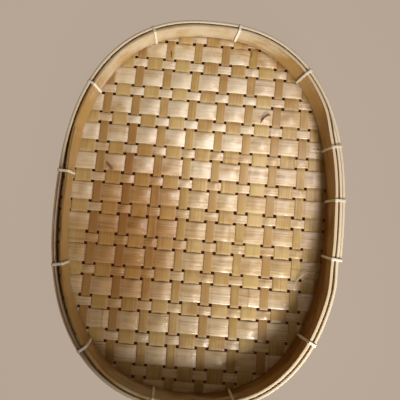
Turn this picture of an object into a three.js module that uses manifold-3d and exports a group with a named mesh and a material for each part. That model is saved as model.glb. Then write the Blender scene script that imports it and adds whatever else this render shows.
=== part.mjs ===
// Oval bamboo tray: a plain-woven mat of flat splits, bent up all round and trapped between two bamboo
// hoops that cane ties bind together. Millimetres, +Z up, long axis along Y, origin on the table under
// the middle of the oval.
import * as THREE from "three";
import { mergeVertices } from "three/addons/utils/BufferGeometryUtils.js";
import Module from "manifold-3d";

const wasm = await Module();
wasm.setup();

// The oval, measured over the outer face of the outer hoop. An exponent of 2 would be a plain ellipse.
const TRAY_LENGTH = 350;
const TRAY_WIDTH = 262;
const OVAL_EXPONENT = 2.4;
const OVAL_STATIONS = 52;

// Splits of the mat. Wide and narrow ones alternate both ways.
const SPLIT_THICKNESS = 0.9;
const WARP_WIDE = 15.2;
const WARP_NARROW = 8.8;
const WEFT_WIDE = 16.7;
const WEFT_NARROW = 8.6;
const WEAVE_GAP = 1.9;
const CROSSING_CLEARANCE = 0.2;
// How far the middle wide warp and the middle wide weft lie from the middle of the oval.
const WARP_OFFSET = -0.6;
const WEFT_OFFSET = 6.0;
// A split is woven in where at least this much of its width shows inside the hoop.
const LEAST_SHOWING = 3.0;
// The ends of the splits stop this far below the top of the hoops.
const UPSTAND_DROP = 1.5;

// Hoops.
const HOOP_HEIGHT = 20;
const OUTER_HOOP_THICKNESS = 2.6;
const INNER_HOOP_THICKNESS = 2.4;
const HOOP_EDGE_CHAMFER = 0.7;
// Spare room between the hoops: they bow apart on the long sides and close up at the ends.
const SIDE_SLACK = 0.9;
const END_SLACK = 0.2;
// Each hoop is one split bent round until its thinned ends lap over each other.
const LAP_LENGTH = 140;
const OUTER_LAP_TIP = 2.2;
const INNER_LAP_TIP = 0.6;
const OUTER_LAP_ANGLE = 14;
const INNER_LAP_ANGLE = 184;
const SEAT_CLEARANCE = 0.3;

// Cane ties round both hoops. Each is placed by how many steps of the weave it lies from the middle split,
// counted in wefts along the side walls and in warps along the end walls.
const TIE_WIDTH = 3.0;
const TIE_THICKNESS = 0.7;
const TIE_CLEARANCE = 0.25;
const TIE_CORNER = 1.2;
const RIGHT_TIES = [-8, -3, 0.64, 4, 8.64];
const FAR_TIES = [1.75, -4];
const LEFT_TIES = [6.64, 1, -4.64, -9.36];
const NEAR_TIES = [-2, 3];

const WARP_PITCH = (WARP_WIDE + WARP_NARROW) / 2 + WEAVE_GAP;
const WEFT_PITCH = (WEFT_WIDE + WEFT_NARROW) / 2 + WEAVE_GAP;
const HIGH_LEVEL = SPLIT_THICKNESS + CROSSING_CLEARANCE;
const MAT_THICKNESS = HIGH_LEVEL + SPLIT_THICKNESS;
const LAP_SWELL = OUTER_LAP_TIP + SEAT_CLEARANCE;
const UPSTAND_ROOM = SPLIT_THICKNESS + 2 * SEAT_CLEARANCE;
const END_ROOM = UPSTAND_ROOM + END_SLACK;
const SIDE_ROOM = UPSTAND_ROOM + LAP_SWELL + SIDE_SLACK;
// The ties pass between the mat and the foot of the hoops.
const HOOP_FOOT = MAT_THICKNESS + TIE_THICKNESS + 2 * TIE_CLEARANCE;
const RIM_TOP = HOOP_FOOT + HOOP_HEIGHT;
const UPSTAND_TOP = RIM_TOP - UPSTAND_DROP;

// The outer face of each hoop.
const OUTER_HALF = { x: TRAY_WIDTH / 2, y: TRAY_LENGTH / 2 };
const INNER_HALF = {
  x: OUTER_HALF.x - OUTER_HOOP_THICKNESS - SIDE_ROOM,
  y: OUTER_HALF.y - OUTER_HOOP_THICKNESS - END_ROOM,
};

const bamboo = (color) => new THREE.MeshStandardMaterial({ color, roughness: 0.45, metalness: 0 });
const weftMaterial = bamboo(0xdcc190);
const warpMaterial = bamboo(0xbd9659);
const hoopMaterial = bamboo(0xd3b47c);
const tieMaterial = new THREE.MeshStandardMaterial({ color: 0xf0e8d4, roughness: 0.55, metalness: 0 });

// Turns a closed geometry into a solid that can be joined and cut.
function solidOf(geometry) {
  const bare = geometry.clone();
  bare.deleteAttribute("normal");
  bare.deleteAttribute("uv");
  const merged = mergeVertices(bare, 1e-4);
  const index = merged.index.array;
  const triVerts = [];
  for (let i = 0; i < index.length; i += 3) {
    const [a, b, c] = index.subarray(i, i + 3);
    if (a !== b && b !== c && c !== a) triVerts.push(a, b, c);
  }
  return new wasm.Manifold(
    new wasm.Mesh({
      numProp: 3,
      vertProperties: new Float32Array(merged.attributes.position.array),
      triVerts: new Uint32Array(triVerts),
    }),
  );
}

// Turns a solid back into geometry, without any crumb that a slot cuts off.
function geometryOf(solid) {
  const main = solid.decompose().reduce((a, b) => (a.volume() > b.volume() ? a : b));
  const mesh = main.getMesh();
  const geometry = new THREE.BufferGeometry();
  geometry.setAttribute("position", new THREE.BufferAttribute(mesh.vertProperties, 3));
  geometry.setIndex(new THREE.BufferAttribute(mesh.triVerts, 1));
  geometry.computeVertexNormals();
  return geometry;
}

// Joins rings of points, all of one length, into a closed skin with capped ends. The points of a ring go
// counter-clockwise as seen from the last ring.
function skin(rings) {
  const size = rings[0].length;
  const end = rings.length - 1;
  const faces = [];
  const at = (ring, i) => ring * size + (i % size);
  for (let ring = 0; ring < end; ring++) {
    for (let i = 0; i < size; i++) {
      faces.push(at(ring, i), at(ring, i + 1), at(ring + 1, i + 1));
      faces.push(at(ring, i), at(ring + 1, i + 1), at(ring + 1, i));
    }
  }
  for (let i = 1; i < size - 1; i++) {
    faces.push(at(0, 0), at(0, i + 1), at(0, i));
    faces.push(at(end, 0), at(end, i), at(end, i + 1));
  }
  const geometry = new THREE.BufferGeometry();
  geometry.setAttribute("position", new THREE.Float32BufferAttribute(rings.flat(2), 3));
  geometry.setIndex(faces);
  return geometry;
}

// A superellipse as stations, each a point and its outward normal, closer together where it turns more.
function ovalStations(half) {
  const steps = OVAL_STATIONS * 40;
  const power = 2 / OVAL_EXPONENT;
  const steep = OVAL_EXPONENT - 1;
  const spread = (value, size) => size * Math.sign(value) * Math.abs(value) ** power;
  const slope = (value, size) => (Math.sign(value) * Math.abs(value / size) ** steep) / size;
  const stationAt = (turn) => {
    const point = new THREE.Vector2(spread(Math.cos(turn), half.x), spread(Math.sin(turn), half.y));
    const normal = new THREE.Vector2(slope(point.x, half.x), slope(point.y, half.y)).normalize();
    return { point, normal };
  };
  const trace = Array.from({ length: steps + 1 }, (_, i) => stationAt((2 * Math.PI * i) / steps));
  const lengths = [0];
  const turns = [0];
  for (let i = 1; i <= steps; i++) {
    lengths.push(lengths[i - 1] + trace[i].point.distanceTo(trace[i - 1].point));
    turns.push(turns[i - 1] + trace[i - 1].normal.angleTo(trace[i].normal));
  }
  const progress = lengths.map((length, i) => (length / lengths[steps] + turns[i] / turns[steps]) / 2);
  const stations = [];
  for (let k = 0, i = 0; k < OVAL_STATIONS; k++) {
    while (progress[i] < k / OVAL_STATIONS) i++;
    stations.push({ ...trace[i], along: lengths[i] });
  }
  return { stations, perimeter: lengths[steps] };
}

const outerOval = ovalStations(OUTER_HALF);
const innerOval = ovalStations(INNER_HALF);

// Where the ray from a point crosses an oval's polygon: the place there and its share of a station.
function crossOval({ stations }, from, away) {
  const count = stations.length;
  const side = ({ point }) => away.cross(point.clone().sub(from));
  for (let k = 0; k < count; k++) {
    const a = stations[k];
    const b = stations[(k + 1) % count];
    if (side(a) <= 0 && side(b) > 0 && away.dot(a.point) > 0) {
      const share = side(a) / (side(a) - side(b));
      const point = a.point.clone().lerp(b.point, share);
      const normal = a.normal.clone().lerp(b.normal, share).normalize();
      return { point, normal, station: k + share };
    }
  }
}

const atBearing = (oval, bearing) => {
  const turn = THREE.MathUtils.degToRad(bearing);
  return crossOval(oval, new THREE.Vector2(), new THREE.Vector2(Math.cos(turn), Math.sin(turn)));
};

// A hoop's section at one station, between two distances from its oval, with the top edge of its smooth
// side eased.
function hoopSection({ point, normal }, innerReach, outerReach, facesOut) {
  const edge = Math.min(HOOP_EDGE_CHAMFER, (outerReach - innerReach) / 2);
  const eased = facesOut
    ? [[innerReach, RIM_TOP], [outerReach - edge, RIM_TOP], [outerReach, RIM_TOP - edge]]
    : [[innerReach, RIM_TOP - edge], [innerReach + edge, RIM_TOP], [outerReach, RIM_TOP]];
  return [[outerReach, HOOP_FOOT], [innerReach, HOOP_FOOT], ...eased].map(([reach, height]) => [
    point.x + normal.x * reach,
    point.y + normal.y * reach,
    height,
  ]);
}

// One hoop: a split bent once round the oval. Over the lap its first end thins towards its tip on the
// smooth side of the hoop, and its last end runs past behind that, thinning the other way. A lap that
// swells is thicker than the hoop by that much, towards the slot between the hoops.
function makeHoop(name, oval, thickness, { angle, tip, swell, facesOut }) {
  const { stations, perimeter } = oval;
  const count = stations.length;
  const middle = atBearing(oval, angle).station;
  const lapAt = stations[Math.round(middle) % count].along - LAP_LENGTH / 2;
  const pastLap = ({ along }) => (along - lapAt + perimeter) % perimeter;
  const inOrder = [...stations].sort((a, b) => pastLap(a) - pastLap(b));
  const lapRings = inOrder.filter((station) => pastLap(station) <= LAP_LENGTH);
  const rings = [];
  const addRing = (station, isLast) => {
    const share = Math.min(1, (pastLap(station) - pastLap(inOrder[0])) / LAP_LENGTH);
    const thinned = tip + (thickness - tip) * share;
    // Depths are measured from the hoop's smooth face.
    const shallow = isLast ? thinned + SEAT_CLEARANCE : 0;
    const deep = isLast ? thickness + swell : thinned;
    if (deep - shallow < tip - 1e-9) return;
    const reaches = facesOut ? [-deep, -shallow] : [shallow - thickness, deep - thickness];
    rings.push(hoopSection(station, ...reaches, facesOut));
  };
  inOrder.forEach((station) => addRing(station, false));
  lapRings.forEach((station) => addRing(station, true));
  const hoop = new THREE.Mesh(skin(rings), hoopMaterial);
  hoop.name = name;
  return hoop;
}

// A band's outline round the rim's section, with its corners cut, at a margin from what it binds.
function tieOutline(innerReach, outerReach, margin) {
  const left = innerReach - margin;
  const right = outerReach + margin;
  const bottom = HOOP_FOOT - margin;
  const top = RIM_TOP + margin;
  const corner = Math.min(TIE_CORNER, 2 * margin);
  return [
    [left + corner, bottom],
    [right - corner, bottom],
    [right, bottom + corner],
    [right, top - corner],
    [right - corner, top],
    [left + corner, top],
    [left, top - corner],
    [left, bottom + corner],
  ].map(([x, y]) => new THREE.Vector2(x, y));
}

// Where the splits of each family lie, by their step from the middle one.
const warpPlace = (step) => WARP_OFFSET + step * WARP_PITCH;
const weftPlace = (step) => WEFT_OFFSET + step * WEFT_PITCH;

// One cane tie, and the slot that it passes through at the foot of the mat's upstand.
function makeTie({ from, away }, index) {
  const { point, normal } = crossOval(innerOval, from, away);
  const innerReach = -INNER_HOOP_THICKNESS;
  const outerReach = crossOval(outerOval, point, normal).point.sub(point).dot(normal);
  const shape = new THREE.Shape(tieOutline(innerReach, outerReach, TIE_CLEARANCE + TIE_THICKNESS));
  shape.holes.push(new THREE.Path(tieOutline(innerReach, outerReach, TIE_CLEARANCE).reverse()));
  const geometry = new THREE.ExtrudeGeometry(shape, { depth: TIE_WIDTH, bevelEnabled: false });
  geometry.translate(0, 0, -TIE_WIDTH / 2).rotateX(Math.PI / 2);
  const tie = new THREE.Mesh(geometry, tieMaterial);
  tie.name = `cane_tie_${String(index + 1).padStart(2, "0")}`;
  tie.position.set(point.x, point.y, 0);
  tie.rotation.z = Math.atan2(normal.y, normal.x);
  tie.updateMatrix();

  const height = TIE_THICKNESS + 2 * TIE_CLEARANCE;
  const slot = new THREE.BoxGeometry(outerReach - innerReach, TIE_WIDTH + 2 * TIE_CLEARANCE, height);
  slot.translate((innerReach + outerReach) / 2, 0, HOOP_FOOT - height / 2).applyMatrix4(tie.matrix);
  return { tie, slot: solidOf(slot) };
}

// The splits of one family: wide ones at even steps from the middle, narrow ones between them.
function splitFamily(place, wide, narrow, halfOpening) {
  const most = Math.ceil(halfOpening / (place(1) - place(0))) + 1;
  const family = [];
  for (let step = -most; step <= most; step++) {
    const width = step % 2 === 0 ? wide : narrow;
    const middle = place(step);
    if (Math.abs(middle) - width / 2 <= halfOpening - LEAST_SHOWING) family.push({ step, middle, width });
  }
  return family;
}

const warps = splitFamily(warpPlace, WARP_WIDE, WARP_NARROW, INNER_HALF.x - INNER_HOOP_THICKNESS);
const wefts = splitFamily(weftPlace, WEFT_WIDE, WEFT_NARROW, INNER_HALF.y - INNER_HOOP_THICKNESS);

// A plain weave: a weft lies over a warp where their steps add up to an even number.
const weftIsOver = (weft, warp) => (weft.step + warp.step) % 2 === 0;

// How far a line at some distance beside the middle runs before it meets the inner hoop's outer face.
function runTo(side, halfAlong, halfAcross) {
  return halfAlong * (1 - Math.min(1, Math.abs(side / halfAcross)) ** OVAL_EXPONENT) ** (1 / OVAL_EXPONENT);
}

// Wefts stand up along the side walls, and warps along the end walls as far as the wefts leave room.
const CORNER_SHARE = (INNER_HALF.x / INNER_HALF.y) ** (OVAL_EXPONENT / (OVAL_EXPONENT - 1));
const CORNER_SIDE = INNER_HALF.y * (1 + CORNER_SHARE) ** (-1 / OVAL_EXPONENT);
const weftStands = ({ middle }) => Math.abs(middle) <= CORNER_SIDE;
function warpStands({ middle, width }, endSign) {
  const edges = wefts.filter(weftStands).map((weft) => endSign * weft.middle + weft.width / 2);
  const room = runTo(Math.max(...edges), INNER_HALF.x, INNER_HALF.y);
  return Math.abs(middle) + width / 2 + WEAVE_GAP <= room;
}

// One end of a split where it meets the wall: the line, straight from one edge of the split to the other,
// that the wall's curve bows out from. A standing end's faces lie outside that bow.
function wallLine([low, high], halfAlong, halfAcross) {
  const lowRun = runTo(low, halfAlong, halfAcross);
  const highRun = runTo(high, halfAlong, halfAcross);
  const slant = Math.hypot(high - low, lowRun - highRun) / (high - low);
  const bows = [0.2, 0.35, 0.5, 0.65, 0.8].map((share) => {
    const chord = THREE.MathUtils.lerp(lowRun, highRun, share);
    return runTo(THREE.MathUtils.lerp(low, high, share), halfAlong, halfAcross) - chord;
  });
  const inner = Math.max(...bows) + SEAT_CLEARANCE * slant;
  return { lowRun, highRun, inner, outer: inner + SPLIT_THICKNESS * slant };
}

// The heights of a split's underside along its run: flat at each crossing, sloping in the gaps between.
function waveOf(crossed, isHigh) {
  const bends = crossed.flatMap((other) => {
    const level = isHigh(other) ? HIGH_LEVEL : 0;
    return [{ run: other.middle - other.width / 2, level }, { run: other.middle + other.width / 2, level }];
  });
  const levelAt = (run) => {
    const next = bends.findIndex((bend) => bend.run > run);
    if (next === 0) return bends[0].level;
    if (next < 0) return bends[bends.length - 1].level;
    const [a, b] = [bends[next - 1], bends[next]];
    return THREE.MathUtils.mapLinear(run, a.run, b.run, a.level, b.level);
  };
  return { bends: bends.map(({ run }) => run), levelAt };
}

// The section of a split between two places, each given by its run at the low and the high side.
function splitRing([low, high], under, over) {
  return [
    [under.lowRun, low, under.height],
    [under.highRun, high, under.height],
    [over.highRun, high, over.height],
    [over.lowRun, low, over.height],
  ];
}

// The rings at one end of a split, from its last whole section outwards. Where the wall line slants across
// a change of level, the end tapers along that line to a point, and its upstand is a piece to be joined on.
function endRings(sides, wave, line, sign, standing) {
  const reach = (distance, height) => ({
    lowRun: sign * (line.lowRun + distance),
    highRun: sign * (line.highRun + distance),
    height,
  });
  const stop = standing ? line.inner + SPLIT_THICKNESS / 4 : 0;
  const near = Math.min(line.lowRun, line.highRun) + (standing ? 0 : stop);
  const far = Math.max(line.lowRun, line.highRun) + (standing ? line.outer : stop);
  const inZone = wave.bends.map((run) => sign * run).filter((run) => run > near - 1e-3 && run < far);
  const level = wave.levelAt(sign * near);
  if (inZone.length === 0) {
    const folded = splitRing(sides, reach(line.outer, level), reach(line.inner, level + SPLIT_THICKNESS));
    const topped = splitRing(sides, reach(line.outer, UPSTAND_TOP), reach(line.inner, UPSTAND_TOP));
    const cut = splitRing(sides, reach(0, level), reach(0, level + SPLIT_THICKNESS));
    return { near, rings: standing ? [folded, topped] : [cut], upstand: null };
  }
  const [low, high] = sides;
  const lowRun = line.lowRun + stop;
  const highRun = line.highRun + stop;
  const shortRun = Math.min(lowRun, highRun);
  const longRun = Math.max(lowRun, highRun);
  const runs = [shortRun, ...inZone.filter((run) => run > shortRun && run < longRun), longRun];
  const rings = runs.sort((a, b) => a - b).map((run) => {
    const share = (run - shortRun) / (longRun - shortRun);
    const left = lowRun < highRun ? THREE.MathUtils.lerp(low, high, share) : low;
    const right = lowRun < highRun ? high : THREE.MathUtils.lerp(high, low, share);
    const height = wave.levelAt(sign * run);
    const place = { lowRun: sign * run, highRun: sign * run };
    return splitRing([left, right], { ...place, height }, { ...place, height: height + SPLIT_THICKNESS });
  });
  const foot = splitRing(sides, reach(line.outer, 0), reach(line.inner, 0));
  const top = splitRing(sides, reach(line.outer, UPSTAND_TOP), reach(line.inner, UPSTAND_TOP));
  return { near: shortRun, rings, upstand: standing ? [foot, top] : null };
}

// One split of the mat, made along X and turned to run along Y where it is a warp.
function makeSplit(split, crossed, isHigh, stands, turned, slots) {
  const [halfAlong, halfAcross] = turned ? [INNER_HALF.y, INNER_HALF.x] : [INNER_HALF.x, INNER_HALF.y];
  const middle = turned ? -split.middle : split.middle;
  const most = halfAcross - SEAT_CLEARANCE;
  const sides = [middle - split.width / 2, middle + split.width / 2].map((side) =>
    THREE.MathUtils.clamp(side, -most, most),
  );
  const wave = waveOf(crossed, isHigh);
  const line = wallLine(sides, halfAlong, halfAcross);
  const [first, last] = [-1, 1].map((sign) => endRings(sides, wave, line, sign, stands(split, sign)));
  const whole = wave.bends.filter((run) => run > -first.near && run < last.near).map((run) => {
    const place = { lowRun: run, highRun: run };
    const height = wave.levelAt(run);
    return splitRing(sides, { ...place, height }, { ...place, height: height + SPLIT_THICKNESS });
  });
  const strip = solidOf(skin([...first.rings.reverse(), ...whole, ...last.rings]));
  const upstands = [first.upstand?.reverse(), last.upstand].filter(Boolean);
  const flat = upstands.reduce((solid, rings) => solid.add(solidOf(skin(rings))), strip);
  const laid = turned ? flat.rotate([0, 0, 90]) : flat;
  return geometryOf(slots.reduce((solid, slot) => solid.subtract(slot), laid));
}

const tray = new THREE.Group();
const rim = new THREE.Group();
const mat = new THREE.Group();
tray.add(rim, mat);

const sideTie = (sign) => (step) => ({
  from: new THREE.Vector2(0, weftPlace(step)),
  away: new THREE.Vector2(sign, 0),
});
const endTie = (sign) => (step) => ({
  from: new THREE.Vector2(warpPlace(step), 0),
  away: new THREE.Vector2(0, sign),
});
const ties = [
  ...RIGHT_TIES.map(sideTie(1)),
  ...FAR_TIES.map(endTie(1)),
  ...LEFT_TIES.map(sideTie(-1)),
  ...NEAR_TIES.map(endTie(-1)),
].map(makeTie);
ties.forEach(({ tie }) => rim.add(tie));
const slots = ties.map(({ slot }) => slot);

const outerLap = { angle: OUTER_LAP_ANGLE, tip: OUTER_LAP_TIP, swell: LAP_SWELL, facesOut: true };
const innerLap = { angle: INNER_LAP_ANGLE, tip: INNER_LAP_TIP, swell: 0, facesOut: false };
rim.add(makeHoop("outer_hoop", outerOval, OUTER_HOOP_THICKNESS, outerLap));
rim.add(makeHoop("inner_hoop", innerOval, INNER_HOOP_THICKNESS, innerLap));

// Adds a family of splits to the mat, each named by its breadth and counted outwards from the middle one.
function addSplits(kind, [before, after], family, material, build) {
  family.forEach((split) => {
    const breadth = split.step % 2 === 0 ? "wide" : "narrow";
    const count = Math.ceil(Math.abs(split.step) / 2);
    const place = split.step === 0 ? "middle" : `${split.step < 0 ? before : after}_${count}`;
    const mesh = new THREE.Mesh(build(split), material);
    mesh.name = `${kind}_${breadth}_${place}`;
    mat.add(mesh);
  });
}

addSplits("weft", ["near", "far"], wefts, weftMaterial, (weft) =>
  makeSplit(weft, warps, (warp) => weftIsOver(weft, warp), weftStands, false, slots),
);
addSplits("warp", ["left", "right"], warps, warpMaterial, (warp) =>
  makeSplit(warp, wefts, (weft) => !weftIsOver(weft, warp), warpStands, true, slots),
);

export default tray;
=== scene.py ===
"""Looks of an oval woven bamboo tray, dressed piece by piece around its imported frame."""

import bisect
import logging
import math
import random
from dataclasses import dataclass, field
from enum import Enum
from typing import Callable, Iterator, Sequence

import bmesh
import bpy
from mathutils import Matrix, Vector, noise
from mathutils.bvhtree import BVHTree
from mathutils.kdtree import KDTree


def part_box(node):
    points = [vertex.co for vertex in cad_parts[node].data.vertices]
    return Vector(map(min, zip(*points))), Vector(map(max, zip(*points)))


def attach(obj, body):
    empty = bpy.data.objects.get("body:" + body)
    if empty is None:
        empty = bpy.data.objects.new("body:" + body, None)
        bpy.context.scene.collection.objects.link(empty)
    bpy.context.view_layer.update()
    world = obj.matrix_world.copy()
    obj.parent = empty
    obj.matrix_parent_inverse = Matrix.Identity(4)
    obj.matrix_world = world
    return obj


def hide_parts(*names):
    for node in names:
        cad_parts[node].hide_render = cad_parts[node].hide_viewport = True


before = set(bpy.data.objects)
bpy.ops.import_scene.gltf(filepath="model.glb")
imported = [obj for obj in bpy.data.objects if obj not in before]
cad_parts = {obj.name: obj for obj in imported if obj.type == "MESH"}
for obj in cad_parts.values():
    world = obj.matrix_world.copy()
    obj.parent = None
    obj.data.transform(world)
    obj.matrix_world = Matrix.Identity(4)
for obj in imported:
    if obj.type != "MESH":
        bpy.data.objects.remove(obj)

log = logging.getLogger("tray")

Colour = tuple[float, float, float]
Placed = tuple[Vector, Vector, Vector]
Point = tuple[float, float, float]
Outline = list[Point]
Material = bpy.types.Material
Mesh = bmesh.types.BMesh

# Sizes are in millimetres, as in the part's source, and each finished mesh is scaled to metres.
MM = 0.001
BODY = "root"
GRAIN = "grain"
TONE = "tone"
WEFT_SLOT = "weft_bamboo"
TIE_SLOT = "tie_cane"
OVAL_EXPONENT = 2.4


def srgb(red: int, green: int, blue: int) -> Colour:
    """Turns a colour as it is seen on a screen into the linear one that a shader takes.

    Args:
        red: Red, 0 to 255.
        green: Green, 0 to 255.
        blue: Blue, 0 to 255.

    Returns:
        The linear colour.
    """
    shares = (value / 255 for value in (red, green, blue))
    return tuple(s / 12.92 if s <= 0.04045 else ((s + 0.055) / 1.055) ** 2.4 for s in shares)


def smooth(low: float, high: float, value: float) -> float:
    """Eases from 0 at one value to 1 at another.

    Args:
        low: Where the step starts.
        high: Where the step ends.
        value: The place to look at.

    Returns:
        A share from 0 to 1.
    """
    share = min(1.0, max(0.0, (value - low) / (high - low)))
    return share * share * (3 - 2 * share)


def waver(seed: float, along: float, across: float = 0.0) -> float:
    """A smooth irregularity of hand work, the same on every run.

    Args:
        seed: Which piece it is for.
        along: Place along the piece, in periods.
        across: Place across the piece, in periods.

    Returns:
        About -1 to 1.
    """
    return noise.noise(Vector((along, across + 7.3, seed * 3.17 + 0.5))) * 1.6


class Value:
    """A shader socket that takes part in Python expressions."""

    def __init__(self, graph: "Graph", socket: bpy.types.NodeSocket) -> None:
        """Keeps the socket and the graph that its nodes are added to."""
        self.graph = graph
        self.socket = socket

    def _math(self, operation: str, first: "Value | float", second: "Value | float") -> "Value":
        """Adds one Math node."""
        return self.graph.node("ShaderNodeMath", {"operation": operation}, {0: first, 1: second})

    def __add__(self, other: "Value | float") -> "Value":
        """Adds."""
        return self._math("ADD", self, other)

    __radd__ = __add__

    def __sub__(self, other: "Value | float") -> "Value":
        """Takes another value away."""
        return self._math("SUBTRACT", self, other)

    def __rsub__(self, other: float) -> "Value":
        """Takes this value away from a number."""
        return self._math("SUBTRACT", other, self)

    def __mul__(self, other: "Value | float") -> "Value":
        """Multiplies."""
        return self._math("MULTIPLY", self, other)

    __rmul__ = __mul__

    def __abs__(self) -> "Value":
        """Drops the sign."""
        return self._math("ABSOLUTE", self, 0.0)

    def __pow__(self, other: float) -> "Value":
        """Raises to a power."""
        return self._math("POWER", self, other)

    def __mod__(self, other: float) -> "Value":
        """What is left after whole periods."""
        return self._math("FLOORED_MODULO", self, other)

    def step(self, low: float, high: float) -> "Value":
        """Eases from 0 at one value to 1 at another."""
        settings = {"interpolation_type": "SMOOTHSTEP"}
        places = {"Value": self, "From Min": low, "From Max": high}
        return self.graph.node("ShaderNodeMapRange", settings, places)


class Graph:
    """The nodes of one material."""

    def __init__(self, name: str) -> None:
        """Starts a material with its Principled shader."""
        self.material = bpy.data.materials.new(name)
        self.material.use_nodes = True
        self.tree = self.material.node_tree
        self.shader = self.tree.nodes["Principled BSDF"]

    def node(
        self,
        kind: str,
        settings: dict[str, object] | None = None,
        inputs: dict[str | int, object] | None = None,
        output: str | int = 0,
    ) -> Value:
        """Adds a node.

        Args:
            kind: The node's type.
            settings: Its properties, set first.
            inputs: A value or a link for each of its sockets.
            output: The socket that goes on.

        Returns:
            The output, ready for expressions.
        """
        made = self.tree.nodes.new(kind)
        for name, setting in (settings or {}).items():
            setattr(made, name, setting)
        for name, given in (inputs or {}).items():
            self.feed(made.inputs[name], given)
        return Value(self, made.outputs[output])

    def feed(self, socket: bpy.types.NodeSocket, given: object) -> None:
        """Links or sets one socket."""
        if isinstance(given, Value):
            self.tree.links.new(given.socket, socket)
        elif isinstance(given, tuple) and len(given) == 3 and socket.type == "RGBA":
            socket.default_value = (*given, 1.0)
        else:
            socket.default_value = given

    def mix(self, share: Value | float, first: object, second: object, way: str = "MIX") -> Value:
        """Mixes two colours."""
        settings = {"data_type": "RGBA", "blend_type": way, "clamp_factor": True}
        return self.node("ShaderNodeMix", settings, {0: share, 6: first, 7: second}, 2)

    def attribute(self, name: str) -> Value:
        """Reads a vector that the mesh carries."""
        return self.node("ShaderNodeAttribute", {"attribute_name": name}, output="Vector")

    def parts(self, vector: Value) -> tuple[Value, Value, Value]:
        """Splits a vector into its three numbers."""
        return tuple(self.node("ShaderNodeSeparateXYZ", inputs={0: vector}, output=i) for i in range(3))

    def fibres(self, along: float, across: float, shift: float, detail: float = 2.0) -> Value:
        """Noise drawn out along the grain.

        Args:
            along: Periods in a millimetre along the grain.
            across: Periods in a millimetre across it.
            shift: Which part of the noise to take.
            detail: How many finer layers it has.

        Returns:
            The noise, about 0.25 to 0.75.
        """
        settings = {"operation": "MULTIPLY_ADD"}
        places = {0: self.attribute(GRAIN), 1: (along, across, 1.0), 2: (shift, shift * 1.7, shift)}
        stretched = self.node("ShaderNodeVectorMath", settings, places)
        values = {"Vector": stretched, "Scale": 1.0, "Detail": detail, "Roughness": 0.6}
        return self.node("ShaderNodeTexNoise", {"noise_dimensions": "3D"}, values)

    def finish(self, inputs: dict[str, object]) -> Material:
        """Feeds the shader and gives the material back."""
        for name, given in inputs.items():
            self.feed(self.shader.inputs[name], given)
        return self.material


@dataclass(frozen=True)
class Patch:
    """An oval patch of the mat, in metres. The mat has two: a darker brown that is partly painted shade, and
    a painted sheen.
    """

    x: float
    y: float
    fall_x: float
    fall_y: float

    def away(self, x: Value, y: Value) -> Value:
        """How far a place lies from the patch's middle, squared, and 1 at its edge."""
        return ((x - self.x) * self.fall_x) ** 2 + ((y - self.y) * self.fall_y) ** 2


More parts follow.
